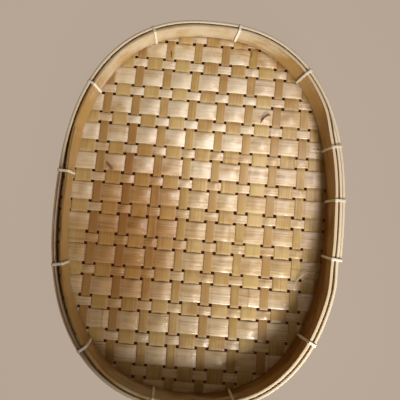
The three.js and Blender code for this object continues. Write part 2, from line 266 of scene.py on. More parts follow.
@dataclass(frozen=True)
class BambooFinish:
    """Scraped split bamboo: long fibres, darker veins, a few nodes, and edges that are partly worn and partly
    painted light and shade.
    """

    name: str
    pale: Colour
    deep: Colour
    vein: Colour
    edge: Colour
    olive_and_shade: Colour
    edge_share: float
    vein_share: float = 0.3
    olive_and_shade_share: float = 0.3
    roughness: float = 0.42
    gloss: float = 0.5
    node_spacing: float = 290.0
    node_share: float = 0.35
    relief: float = 0.00006
    # a darker brown, partly the bamboo's own and partly painted shade, laid on a patch left of the middle and
    # towards the near end
    brown_and_shade: Colour = (0.68, 0.47, 0.26)
    brown_and_shade_share: float = 0.0
    brown_and_shade_patch: Patch = Patch(-0.06, -0.018, 18.0, 8.8)
    # painted sheen: a paler colour laid on the wefts where the lamps' sheen would fall, over a patch towards
    # the far end and on the left edge
    painted_sheen: Colour = srgb(246, 233, 204)
    painted_sheen_share: float = 0.0
    painted_sheen_patch: Patch = Patch(-0.025, 0.108, 10.5, 10.5)

    def material(self) -> Material:
        """Builds the material."""
        graph = Graph(self.name)
        fine = graph.fibres(0.03, 3.6, 0.0, 3.0)
        streak = graph.fibres(0.009, 0.85, 11.0)
        blotch = graph.fibres(0.045, 0.07, 23.0)
        vein = graph.fibres(0.004, 0.34, 37.0, 1.0)
        along, _, seed = graph.parts(graph.attribute(GRAIN))
        # on the hoops the second number carries painted shade and the third a pale top edge that is partly
        # painted highlight; on the splits the third darkens the rounded edges, partly dirt and partly painted
        # shade
        tint, warmth, edge = graph.parts(graph.attribute(TONE))

        paleness = (fine - 0.5) * 0.8 + (streak - 0.5) * 1.7 + (blotch - 0.5) * 2.2 + tint * 0.36
        colour = graph.mix((paleness + 0.5).step(0.0, 1.0), self.deep, self.pale)
        # an olive tint on the splits; on the hoops the same mix lays the dark painted shade that their tone
        # carries
        olive_and_shade = (graph.fibres(0.02, 0.14, 71.0) - 0.5) * 3.0 + warmth * 0.4
        colour = graph.mix(olive_and_shade.step(0.0, 1.0) * self.olive_and_shade_share, colour, self.olive_and_shade)
        thread = 1 - abs(vein - 0.5).step(0.004, 0.06)
        shown = thread * (graph.fibres(0.02, 0.2, 53.0) - 0.32).step(0.0, 0.3)
        colour = graph.mix(shown * self.vein_share, colour, self.vein)
        ring = abs((along + seed * 57.0) % self.node_spacing - self.node_spacing / 2)
        knot = 1 - ring.step(0.3, 1.6)
        colour = graph.mix(knot * self.node_share, colour, self.vein)
        # the edge colour: darker on the splits' rounded edges, partly dirt and partly painted shade; paler on
        # the hoops' top edges, partly the cut fibres and partly painted highlight
        colour = graph.mix(edge * self.edge_share, colour, self.edge)
        if self.brown_and_shade_share:
            colour = self.brown_shade_and_sheen(graph, colour, blotch)

        rough = (fine - 0.5) * 0.3 + (blotch - 0.5) * 0.25 + edge * 0.15 + self.roughness
        height = fine * 0.6 + streak * 0.8 - shown * 0.35 + knot * 0.9
        bump = {"Strength": 0.55, "Distance": self.relief, "Height": height}
        normal = graph.node("ShaderNodeBump", inputs=bump)
        shine = {"Roughness": rough, "Specular IOR Level": self.gloss}
        return graph.finish({"Base Color": colour, "Normal": normal, **shine})

    def brown_shade_and_sheen(self, graph: Graph, colour: Value, blotch: Value) -> Value:
        """Darkens the mat in a brown patch left of the middle, partly its own browning and partly painted
        shade, darkens it towards its near left end with painted shade, and pales it with a painted sheen.

        Args:
            graph: The material's nodes.
            colour: The colour so far.
            blotch: The noise that frays the patches.

        Returns:
            The changed colour.
        """
        x, y, _ = graph.parts(graph.node("ShaderNodeTexCoord", output="Object"))
        # painted shade: darker towards the near left end; then the brown patch, partly the bamboo's own
        # browning and partly painted shade
        near_end_shade = (x * -3.0 + y * -7.0).step(0.0, 1.6) * 0.28
        brown_and_shade_mask = (1.15 - self.brown_and_shade_patch.away(x, y) + (blotch - 0.5) * 0.9).step(0.0, 1.1) + near_end_shade
        colour = graph.mix(brown_and_shade_mask * self.brown_and_shade_share, colour, self.brown_and_shade, "MULTIPLY")
        # painted sheen, on the leftmost wefts and over an oval patch left of the middle towards the far end
        left_edge_sheen = (x * -1.0 - 0.092).step(0.0, 0.012) * (y + 0.03).step(0.0, 0.02)
        sheen_mask = (1.1 - self.painted_sheen_patch.away(x, y) + (blotch - 0.5) * 3.0).step(0.0, 1.0) + left_edge_sheen * 0.5
        return graph.mix(sheen_mask * self.painted_sheen_share, colour, self.painted_sheen)


@dataclass(frozen=True)
class CaneFinish:
    """Flat white cane: pale and matt, with close fibres and a little grime."""

    name: str
    pale: Colour
    deep: Colour
    roughness: float = 0.55

    def material(self) -> Material:
        """Builds the material."""
        graph = Graph(self.name)
        fine = graph.fibres(0.08, 4.5, 3.0, 3.0)
        blotch = graph.fibres(0.12, 0.3, 19.0)
        tint, _, edge = graph.parts(graph.attribute(TONE))
        paleness = (fine - 0.5) * 1.1 + (blotch - 0.5) * 0.8 + tint * 0.3 - edge * 0.25 + 0.6
        colour = graph.mix(paleness.step(0.0, 1.0), self.deep, self.pale)
        normal = graph.node("ShaderNodeBump", inputs={"Strength": 0.5, "Distance": 0.00008, "Height": fine})
        rough = (fine - 0.5) * 0.3 + self.roughness
        return graph.finish({"Base Color": colour, "Roughness": rough, "Normal": normal})


@dataclass(frozen=True)
class FloorFinish:
    """A plain pale tabletop, evenly lit, with painted shade: it is dark where the tray covers it."""

    name: str
    colour: Colour
    # the painted shade laid under the tray, seen through the holes of the weave
    under: Colour
    painted_shade_oval: tuple[float, float] = (0.1308, 0.1748)
    evenness: float = 0.94
    painted_shade_glow: float = 0.5

    def material(self) -> Material:
        """Builds the material."""
        graph = Graph(self.name)
        place = graph.node("ShaderNodeTexCoord", output="Object")
        cloud = graph.node("ShaderNodeTexNoise", inputs={"Vector": place, "Scale": 3.0, "Detail": 2.0})
        pale = graph.mix(cloud, tuple(part * 0.97 for part in self.colour), self.colour)
        x, y, _ = graph.parts(place)
        # painted shade: inside this oval under the tray the floor takes the dark colour
        half_x, half_y = self.painted_shade_oval
        oval = abs(x * (1 / half_x)) ** OVAL_EXPONENT + abs(y * (1 / half_y)) ** OVAL_EXPONENT
        bare = oval.step(0.97, 1.0)
        colour = graph.mix(bare, self.under, pale)
        graph.finish({"Base Color": colour, "Roughness": 0.9, "Specular IOR Level": 0.1})
        kinds = ("Is Camera Ray", "Is Glossy Ray", "Is Transmission Ray")
        seen = [graph.node("ShaderNodeLightPath", output=kind) for kind in kinds]
        glow = graph.node("ShaderNodeEmission", inputs={"Color": colour, "Strength": 1.0})
        lit = Value(graph, graph.shader.outputs[0])
        # the painted shade under the tray glows for camera rays too, at its own share
        share = (seen[0] + seen[1] + seen[2]) * (bare * (self.evenness - self.painted_shade_glow) + self.painted_shade_glow)
        shown = graph.node("ShaderNodeMixShader", inputs={0: share, 1: lit, 2: glow})
        graph.feed(graph.tree.nodes["Material Output"].inputs["Surface"], shown)
        return graph.material


@dataclass(frozen=True)
class Oval:
    """A superellipse, longer along Y."""

    half_x: float
    half_y: float
    exponent: float = OVAL_EXPONENT

    def run(self, side: float, along_y: bool) -> float:
        """How far a straight line beside the middle runs before it meets the oval.

        Args:
            side: The line's distance from the middle.
            along_y: Whether it runs along Y instead of X.

        Returns:
            The run, 0 outside the oval.
        """
        half, other = (self.half_y, self.half_x) if along_y else (self.half_x, self.half_y)
        left = 1 - min(1.0, abs(side) / other) ** self.exponent
        return half * left ** (1 / self.exponent)

    def slant(self, side: float, along_y: bool) -> float:
        """How much longer the wall is than the width that it crosses, at the end of such a line."""
        reach = 0.5
        rise = (self.run(side + reach, along_y) - self.run(side - reach, along_y)) / (2 * reach)
        return min(3.0, math.hypot(1.0, rise))

    def at_bearing(self, bearing: float) -> Vector:
        """The point in a direction from the middle, in radians from +X."""
        cos, sin = math.cos(bearing), math.sin(bearing)
        sum_ = abs(cos / self.half_x) ** self.exponent + abs(sin / self.half_y) ** self.exponent
        return Vector((cos, sin, 0.0)) * sum_ ** (-1 / self.exponent)

    def normal(self, point: Vector) -> Vector:
        """The outward direction at a point on the oval.

        Args:
            point: The point.

        Returns:
            The direction, of length 1.
        """
        power = self.exponent - 1
        x = math.copysign(abs(point.x / self.half_x) ** power / self.half_x, point.x)
        y = math.copysign(abs(point.y / self.half_y) ** power / self.half_y, point.y)
        return Vector((x, y, 0.0)).normalized()

    def walk(self, start: float, steps: int = 1440) -> list[tuple[float, Vector]]:
        """Points once round from a bearing, each with its distance from the first.

        Args:
            start: The bearing, in radians from +X.
            steps: How many steps make the round.

        Returns:
            The distances and the points.
        """
        points = [self.at_bearing(start + 2 * math.pi * i / steps) for i in range(steps + 1)]
        walked, far = [], 0.0
        for before, point in zip([points[0], *points], points):
            far += (point - before).length
            walked.append((far, point))
        return walked


def strip_outline(face_steps: int, edge_steps: int) -> Outline:
    """The section of a flat strip with rounded edges, from the middle of its underside round to there.

    Args:
        face_steps: Faces across each flat side.
        edge_steps: Faces round each edge.

    Returns:
        For each point, its share of the flat half width, its share of the edge's radius, and its share
        of the thickness above the underside.
    """
    half = face_steps // 2
    right = [(i / half, 0.0, 0.0) for i in range(half)]
    turns = [math.pi * (i / edge_steps - 0.5) for i in range(edge_steps + 1)]
    edge = [(1.0, math.cos(turn), 0.5 + 0.5 * math.sin(turn)) for turn in turns]
    top = [(1 - 2 * i / face_steps, 0.0, 1.0) for i in range(1, face_steps)]
    back = [(-1.0, -out, depth) for _, out, depth in reversed(edge)]
    left = [(i / half - 1, 0.0, 0.0) for i in range(1, half + 1)]
    return [*right, *edge, *top, *back, *left]


def sweep(stations: Sequence, outline: Outline, place: Callable[..., Placed]) -> Mesh:
    """Wraps a grid round a run of sections and closes its seam and its ends.

    Args:
        stations: The places along the run.
        outline: The section's points, the last the same as the first.
        place: Gives a point's position, its grain and its tone from a station and an outline point.

    Returns:
        The closed mesh, in millimetres.
    """
    made = bmesh.new()
    grain = made.verts.layers.float_vector.new(GRAIN)
    tone = made.verts.layers.float_vector.new(TONE)
    ends = len(stations) - 1, len(outline) - 1
    bmesh.ops.create_grid(made, x_segments=ends[0], y_segments=ends[1], size=1.0)
    for vert in made.verts:
        along = round((vert.co.x + 1) / 2 * ends[0])
        around = round((vert.co.y + 1) / 2 * ends[1])
        vert.co, vert[grain], vert[tone] = place(stations[along], outline[around])
    bmesh.ops.remove_doubles(made, verts=made.verts, dist=1e-4)
    rims = [edge for edge in made.edges if edge.is_boundary]
    if rims:
        bmesh.ops.holes_fill(made, edges=rims, sides=0)
    bmesh.ops.recalc_face_normals(made, faces=made.faces)
    return made


def pierce(made: Mesh, slots: Sequence[Matrix]) -> Mesh:
    """Cuts slots through a mesh. A new corner takes its grain and tone from the nearest old one.

    Args:
        made: The closed mesh, freed here.
        slots: For each slot, the matrix that turns a cube of size 1 into it.

    Returns:
        The mesh with its slots.
    """
    cutter = bmesh.new()
    for slot in slots:
        bmesh.ops.create_cube(cutter, size=1.0, matrix=slot)
    whole, tool = (bpy.data.meshes.new(name) for name in ("whole", "tool"))
    made.to_mesh(whole)
    cutter.to_mesh(tool)
    cutter.free()
    pieces = [bpy.data.objects.new(mesh.name, mesh) for mesh in (whole, tool)]
    for piece in pieces:
        bpy.context.scene.collection.objects.link(piece)
    cut = pieces[0].modifiers.new("slots", "BOOLEAN")
    cut.operation, cut.solver, cut.object = "DIFFERENCE", "EXACT", pieces[1]
    ready = pieces[0].evaluated_get(bpy.context.evaluated_depsgraph_get())
    result = bmesh.new()
    result.from_mesh(ready.to_mesh())
    ready.to_mesh_clear()

    old = KDTree(len(made.verts))
    for i, vert in enumerate(made.verts):
        old.insert(vert.co, i)
    old.balance()
    made.verts.ensure_lookup_table()
    for name in (GRAIN, TONE):
        source = made.verts.layers.float_vector[name]
        layers = result.verts.layers.float_vector
        goal = layers.get(name) or layers.new(name)
        for vert in result.verts:
            vert[goal] = made.verts[old.find(vert.co)[1]][source]
    made.free()
    for mesh in (whole, tool):
        bpy.data.meshes.remove(mesh)
    return result


def settle(
    made: Mesh,
    name: str,
    node: str | None,
    finish: Material,
) -> None:
    """Makes a finished piece that stands for a node of the frame, or lies on one.

    Args:
        made: Its mesh in millimetres, freed here.
        name: The piece's name.
        node: The node that it replaces, if it replaces one.
        finish: Its material.
    """
    bmesh.ops.scale(made, vec=(MM, MM, MM), verts=made.verts)
    for face in made.faces:
        face.smooth = True
    for edge in made.edges:
        edge.smooth = not edge.is_manifold or edge.calc_face_angle(0.0) < math.radians(50)
    mesh = bpy.data.meshes.new(name)
    made.to_mesh(mesh)
    made.free()
    mesh.materials.append(finish)
    piece = bpy.data.objects.new(name, mesh)
    bpy.context.scene.collection.objects.link(piece)
    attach(piece, BODY)
    if node:
        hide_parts(node)
    log.info("%s stands for %s with %d faces", name, node, len(mesh.polygons))


def node_points(node: str) -> list[Vector]:
    """The corners of one node of the frame, in millimetres."""
    return [vertex.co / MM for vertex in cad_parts[node].data.vertices]


def node_box(node: str) -> tuple[Vector, Vector]:
    """The lowest and the highest corner of one node's box, in millimetres."""
    low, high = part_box(node)
    return Vector(low) / MM, Vector(high) / MM


class Family(Enum):
    """The two ways that the splits of the mat run."""

    WEFT = "weft"
    WARP = "warp"


class Zone(Enum):
    """The stretches of one split."""

    STAND = "stand"
    FOLD = "fold"
    END = "end"
    FLAT = "flat"


@dataclass(frozen=True)
class Station:
    """One place along a split: its stretch, which end that is at, and how far along the stretch."""

    zone: Zone
    sign: int
    share: float


@dataclass(frozen=True)
class Rim:
    """The two hoops, as the frame sizes them."""

    outer: Oval
    inner: Oval
    foot: float
    top: float
    upstand_top: float
    outer_thickness: float = 2.6
    inner_thickness: float = 2.4
    lap_swell: float = 2.5
    lap_run: tuple[float, float, float, float] = (-72.0, -40.0, 72.0, 102.0)
    slot_left: float = 1.1
    open_from: tuple[float, float] = (150.0, 175.0)
    open_to: tuple[float, float] = (232.0, 255.0)
    open_stays: float = 0.75
    lean_start: float = -0.25

    @classmethod
    def from_frame(cls) -> "Rim":
        """Reads the outer face, the foot and the top of each hoop."""
        names = ("outer_hoop", "inner_hoop", "weft_wide_middle")
        (_, outer), (low, inner), (_, stand) = (node_box(name) for name in names)
        return cls(Oval(outer.x, outer.y), Oval(inner.x, inner.y), low.z, inner.z, stand.z)

    def open_share(self, point: Vector) -> float:
        """How far the slot between the hoops gapes at a point: wide on the left, nearly shut elsewhere."""
        bearing = math.degrees(math.atan2(point.y, point.x)) % 360
        return smooth(*self.open_from, bearing) * (1 - smooth(*self.open_to, bearing))

    def lean(self, point: Vector, z: float) -> float:
        """How far the wall leans out at a height, where the ties pull the hoops together at the top.

        Args:
            point: A place at the inner hoop.
            z: The height there.

        Returns:
            The lean.
        """
        bearing = math.atan2(point.y, point.x)
        near, far = self.inner.at_bearing(bearing), self.outer.at_bearing(bearing)
        slot = (far - near).dot(self.inner.normal(near)) - self.outer_thickness
        if point.x > 0:
            first, full, last, gone = self.lap_run
            slot -= self.lap_swell * smooth(first, full, point.y) * (1 - smooth(last, gone, point.y))
        most = max(0.0, slot - self.slot_left) * (1 - self.open_stays * self.open_share(point))
        share = (z - self.foot) / (self.top - self.foot)
        return most * smooth(self.lean_start, 1.0, share) - most * smooth(self.lean_start, 1.0, 0.0)


@dataclass(frozen=True)
class Split:
    """One flat split of the mat."""

    node: str
    family: Family
    step: int
    middle: float
    width: float

    @property
    def seed(self) -> float:
        """A number of its own for every split."""
        return self.step * 1.37 + (60.0 if self.family is Family.WARP else 20.0)

    @property
    def along_y(self) -> bool:
        """Whether it runs along the tray."""
        return self.family is Family.WARP


@dataclass
class Weave:
    """The mat: flat splits in plain weave, standing up all round between the hoops."""

    rim: Rim
    finishes: dict[Family, Material]
    slots: Sequence[Matrix]
    slot_room: float = 4.0
    warp_widths: tuple[float, float] = (15.2, 8.8)
    weft_widths: tuple[float, float] = (16.7, 8.6)
    gap: float = 1.9
    offsets: tuple[float, float] = (-0.6, 6.0)
    shrink: float = 0.8
    thickness: float = 0.36
    lift: float = 0.46
    swells: tuple[float, float] = (0.2, 1.15)
    crown: float = 0.2
    pillow: float = 0.6
    edge_radius: float = 0.2
    ramp_overrun: float = 0.9
    fold_radius: float = 0.6
    seat: float = 0.3
    lie_short: float = 0.8
    end_room: float = 1.6
    edge_step: int = 8
    darkened: tuple[int, int] = (-7, -5)
    reach_out: tuple[float, float] = (1.3, 2.5)
    stand_swell: float = 2.6
    slant: float = 1.5
    bow: float = 1.9
    families: dict[Family, list[Split]] = field(default_factory=dict)
    trees: list[BVHTree] = field(default_factory=list)

    def __post_init__(self) -> None:
        """Reads which splits the frame has."""
        for family in Family:
            names = [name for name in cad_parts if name.startswith(family.value)]
            splits = [self.read(name, family) for name in names]
            self.families[family] = sorted(splits, key=lambda split: split.step)

    def read(self, node: str, family: Family) -> Split:
        """Finds a split's step, place and width from its name.

        Args:
            node: The node's name, which counts outwards from the middle.
            family: Which way it runs.

        Returns:
            The split.
        """
        words = node.split("_")
        wide = words[1] == "wide"
        count = int(words[3]) if len(words) > 3 else 0
        step = 2 * count if wide else 2 * count - 1
        step = -step if words[2] in ("near", "left") else step
        is_warp = family is Family.WARP
        widths = self.warp_widths if is_warp else self.weft_widths
        middle = self.offsets[0 if is_warp else 1] + step * (sum(widths) / 2 + self.gap)
        return Split(node, family, step, middle, widths[0 if wide else 1])

    def crossings(self, split: Split) -> list[tuple[float, float, bool]]:
        """The splits that one split crosses: where each starts and ends, and whether it passes over.

        Args:
            split: The split.

        Returns:
            The start, the end and the passing over, in order along the split.
        """
        other = Family.WEFT if split.family is Family.WARP else Family.WARP
        is_weft = split.family is Family.WEFT
        found = []
        for far in self.families[other]:
            over = ((far.step + split.step) % 2 == 0) == is_weft
            found.append((far.middle - far.width / 2, far.middle + far.width / 2, over))
        return found

    def drift(self, y: float) -> float:
        """How far the warps have worked sideways at a place along the tray."""
        share = y / self.rim.inner.half_y
        return self.slant * share + self.bow * share * share - 0.4

    def ramps(self, split: Split) -> list[tuple[float, float]]:
        """Where a split changes level: between each crossing and the next."""
        crossed = self.crossings(split)
        over = self.ramp_overrun
        return [(a[1] - over, b[0] + over) for a, b in zip(crossed, crossed[1:])]

    def wave(self, split: Split) -> Callable[[float, float], tuple[float, float, float]]:
        """Gives the function for the height of a split's underside.

        Args:
            split: The split.

        Returns:
            A function of the place along the split and across the tray, for the height, for how far it lies
            over what it crosses and for how much it swells there.
        """
        crossed, ramps, oval = self.crossings(split), self.ramps(split), self.rim.inner
        starts = [start for start, _ in ramps]
        swell = self.swells[0 if split.along_y else 1]
        chance = random.Random(round(split.seed * 1000) + 7)
        pads = [(chance.uniform(0.5, 1.5), chance.uniform(-0.2, 0.9)) for _ in crossed]

        def height(run: float, side: float) -> tuple[float, float, float]:
            """The height over the table at one place, the share of the lift there and the swell."""
            at = bisect.bisect_left(starts, run)
            first = max(0, at - 1)
            level = 1.0 if crossed[first][2] else 0.0
            if at > 0:
                goal = 1.0 if crossed[at][2] else 0.0
                level += (goal - level) * smooth(*ramps[at - 1], run)
            raised = 0.0
            clear = smooth(4.0, 14.0, oval.run(side, split.along_y) - abs(run))
            for (start, end, over), (amount, tilt) in zip(crossed[first : at + 1], pads[first:]):
                half = (end - start + self.gap) / 2
                share = (run - (start + end) / 2) / half
                if over and abs(share) < 1:
                    hump = (1 - share * share) ** 2 * (1 + tilt * share) * min(1.0, half / 9.0)
                    raised = swell * amount * clear * hump
            return self.lift * level, level * clear, raised

        return height

    @property
    def bed(self) -> Oval:
        """The oval that lying ends keep inside of, clear of the splits that stand up along the wall."""
        wall = self.rim.inner
        return Oval(wall.half_x - self.lie_short, wall.half_y - self.lie_short)

    def flat_run(self, split: Split) -> tuple[float, float]:
        """How far a split runs flat from the middle, and how long each of its ends is after that.

        Args:
            split: The split.

        Returns:
            The flat run and the length of an end.
        """
        sides = (split.middle - split.width / 2, split.middle + split.width / 2)
        runs = [self.rim.inner.run(self.inside(split, side), split.along_y) for side in sides]
        near = max(0.0, min(runs) - self.end_room)
        return near, max(runs) - near

    def strip(self, split: Split, run: float) -> tuple[float, float]:
        """A split's half breadth and its middle line at a place along it."""
        breadth = (split.width - self.shrink) / 2 * (1 + 0.025 * waver(split.seed, run * 0.012))
        wobble = 0.35 * waver(split.seed + 9, run * 0.01) + (self.drift(run) if split.along_y else 0.0)
        return breadth, split.middle + wobble

    def tip(self, split: Split, sign: int) -> float:
        """Where a lying end of a split has narrowed to a tip against the wall.

        Args:
            split: The split.
            sign: Which end, -1 or 1.

        Returns:
            The place along the split.
        """
        run = sign * self.flat_run(split)[0]
        for _ in range(3):
            breadth, middle = self.strip(split, run)
            run = sign * self.bed.run(abs(middle) - breadth + self.lie_short, split.along_y)
        return run

    def stations(self, split: Split) -> list[Station]:
        """The places along a split where its section is set.

        Args:
            split: The split.

        Returns:
            The stations from one end to the other.
        """
        near, zone = self.flat_run(split)
        marks = [-near, near]
        for start, end in self.ramps(split):
            marks += [start + (end - start) * i / 6 for i in range(7)]
        for start, end, _ in self.crossings(split):
            marks += [start + (end - start) * i / 6 for i in range(1, 6)]
        inside = sorted(mark for mark in marks if -near <= mark <= near)
        flat = [a for a, b in zip(inside, [*inside[1:], 1e9]) if b - a > 0.05]
        count = max(3, round(zone / 0.7))
        end = [(Zone.END, i / count) for i in range(1, count + 1)]
        fold = [(Zone.FOLD, i / 5) for i in range(1, 6)]
        stand = [(Zone.STAND, i / 12) for i in range(1, 13)]
        halves = []
        for sign in (-1, 1):
            rest = [*end, *fold, *stand] if self.stands(split, sign) else end
            halves.append([Station(kind, sign, share) for kind, share in rest])
        return [*reversed(halves[0]), *[Station(Zone.FLAT, 0, run) for run in flat], *halves[1]]

    def stands(self, split: Split, sign: int) -> bool:
        """Whether one end of a split stands up between the hoops, as its node does."""
        axis = 1 if split.along_y else 0
        return any(point.z > 10 and point[axis] * sign > 0 for point in node_points(split.node))

    def inside(self, split: Split, side: float) -> float:
        """Keeps a place across the tray inside the wall."""
        oval = self.rim.inner
        most = (oval.half_x if split.along_y else oval.half_y) - self.seat
        return max(-most, min(most, side))

    def placer(self, split: Split) -> Callable[[Station, Point], Placed]:
        """Gives the function that places a split's points.

        Args:
            split: The split.

        Returns:
            A function of a station and a point of the section, for use in a sweep.
        """
        oval, bed, thick = self.rim.inner, self.bed, self.thickness
        near, _ = self.flat_run(split)
        standing = {sign: self.stands(split, sign) for sign in (-1, 1)}
        tips = {sign: self.tip(split, sign) for sign in (-1, 1) if not standing[sign]}
        height = self.wave(split)
        chance = random.Random(round(split.seed * 100))
        tint, warmth = chance.uniform(-1, 1), chance.uniform(-1, 1)
        if split.along_y:
            tint += 0.5 if split.step % 2 == 0 else -1.1
        if split.along_y and split.step in self.darkened:
            tint -= 1.2
            warmth -= 1.5

        def place(station: Station, point: Point) -> Placed:
            """Places one point of the split's section at one station."""
            flat, out, depth = point
            run = station.share if station.zone is Zone.FLAT else station.sign * near
            stands = standing.get(station.sign)
            if station.zone is Zone.END and not stands:
                run += (tips[station.sign] - run) * station.share
            breadth, middle = self.strip(split, run)
            across = flat * (breadth - self.edge_radius) + out * self.edge_radius
            if split.along_y and abs(split.step) == self.edge_step and across * split.step > 0:
                across *= 1 + self.reach_out[split.step > 0] / breadth
            side = self.inside(split, middle + across)
            slant = oval.slant(side, split.along_y)
            if stands:
                stop = oval.run(side, split.along_y) + self.seat * slant - self.fold_radius
                share = station.share if station.zone is Zone.END else 1.0
                run = station.sign * (near + (stop - near) * share)
            elif tips:
                most = bed.run(run, not split.along_y)
                side = max(-most, min(most, side))
                across = side - middle
            shift = 0.0 if split.along_y else self.drift(side)
            low, level, raised = height(run - shift, side)
            edging = min(1.0, (across / breadth) ** 2)
            arch = self.crown * level * (breadth / 8) ** 2 * (1 - edging)
            z = low + depth * thick + arch + raised * (1 - self.pillow * edging)
            under = (1 - depth) * thick
            along = run
            if station.zone in (Zone.FOLD, Zone.STAND):
                turn = math.pi / 2 * (station.share if station.zone is Zone.FOLD else 1.0)
                centre = z + under + self.fold_radius
                gape = self.rim.open_share(Vector((side, run) if split.along_y else (run, side)).to_3d())
                swollen = 1 + self.stand_swell * gape * (station.share if station.zone is Zone.STAND else 0.0)
                run += station.sign * math.sin(turn) * (self.fold_radius + under * slant * swollen)
                z = centre - math.cos(turn) * (self.fold_radius + under)
                if station.zone is Zone.STAND:
                    fray = waver(split.seed + 31, side * 0.55) + 0.5 * waver(split.seed + 47, side * 1.9)
                    top = self.rim.upstand_top - 1.0 + 0.8 * fray - 0.8 * gape
                    z += (top - z) * station.share
                along = run + station.sign * z
            spot = Vector((side, run, z) if split.along_y else (run, side, z))
            if station.zone is Zone.STAND and z > self.rim.foot:
                spot += oval.normal(spot) * self.rim.lean(spot, z)
            # the third number darkens the split's rounded edges, partly dirt and partly painted shade
            return spot, Vector((along, across, split.seed)), Vector((tint, warmth, abs(out)))

        return place

    def build(self) -> None:
        """Makes every split of the mat."""
        outline = strip_outline(8, 4)
        for family, splits in self.families.items():
            for split in splits:
                made = sweep(self.stations(split), outline, self.placer(split))
                slots = [slot for slot in self.slots if self.crossed_by(made, slot)]
                if slots:
                    made = pierce(made, slots)
                self.trees.append(BVHTree.FromBMesh(made))
                finish = self.finishes[family]
                settle(made, f"{split.node}_split", split.node, finish)

    def crossed_by(self, made: Mesh, slot: Matrix) -> bool:
        """Whether a slot lies near enough to a split to cut it."""
        return any((vert.co - slot.translation).length < self.slot_room for vert in made.verts)

    def surface(self, x: float, y: float) -> float:
        """The height of the mat's upper side at a place."""
        hits = (tree.ray_cast(Vector((x, y, 15.0)), Vector((0.0, 0.0, -1.0)))[0] for tree in self.trees)
        return max((hit.z for hit in hits if hit), default=0.0)


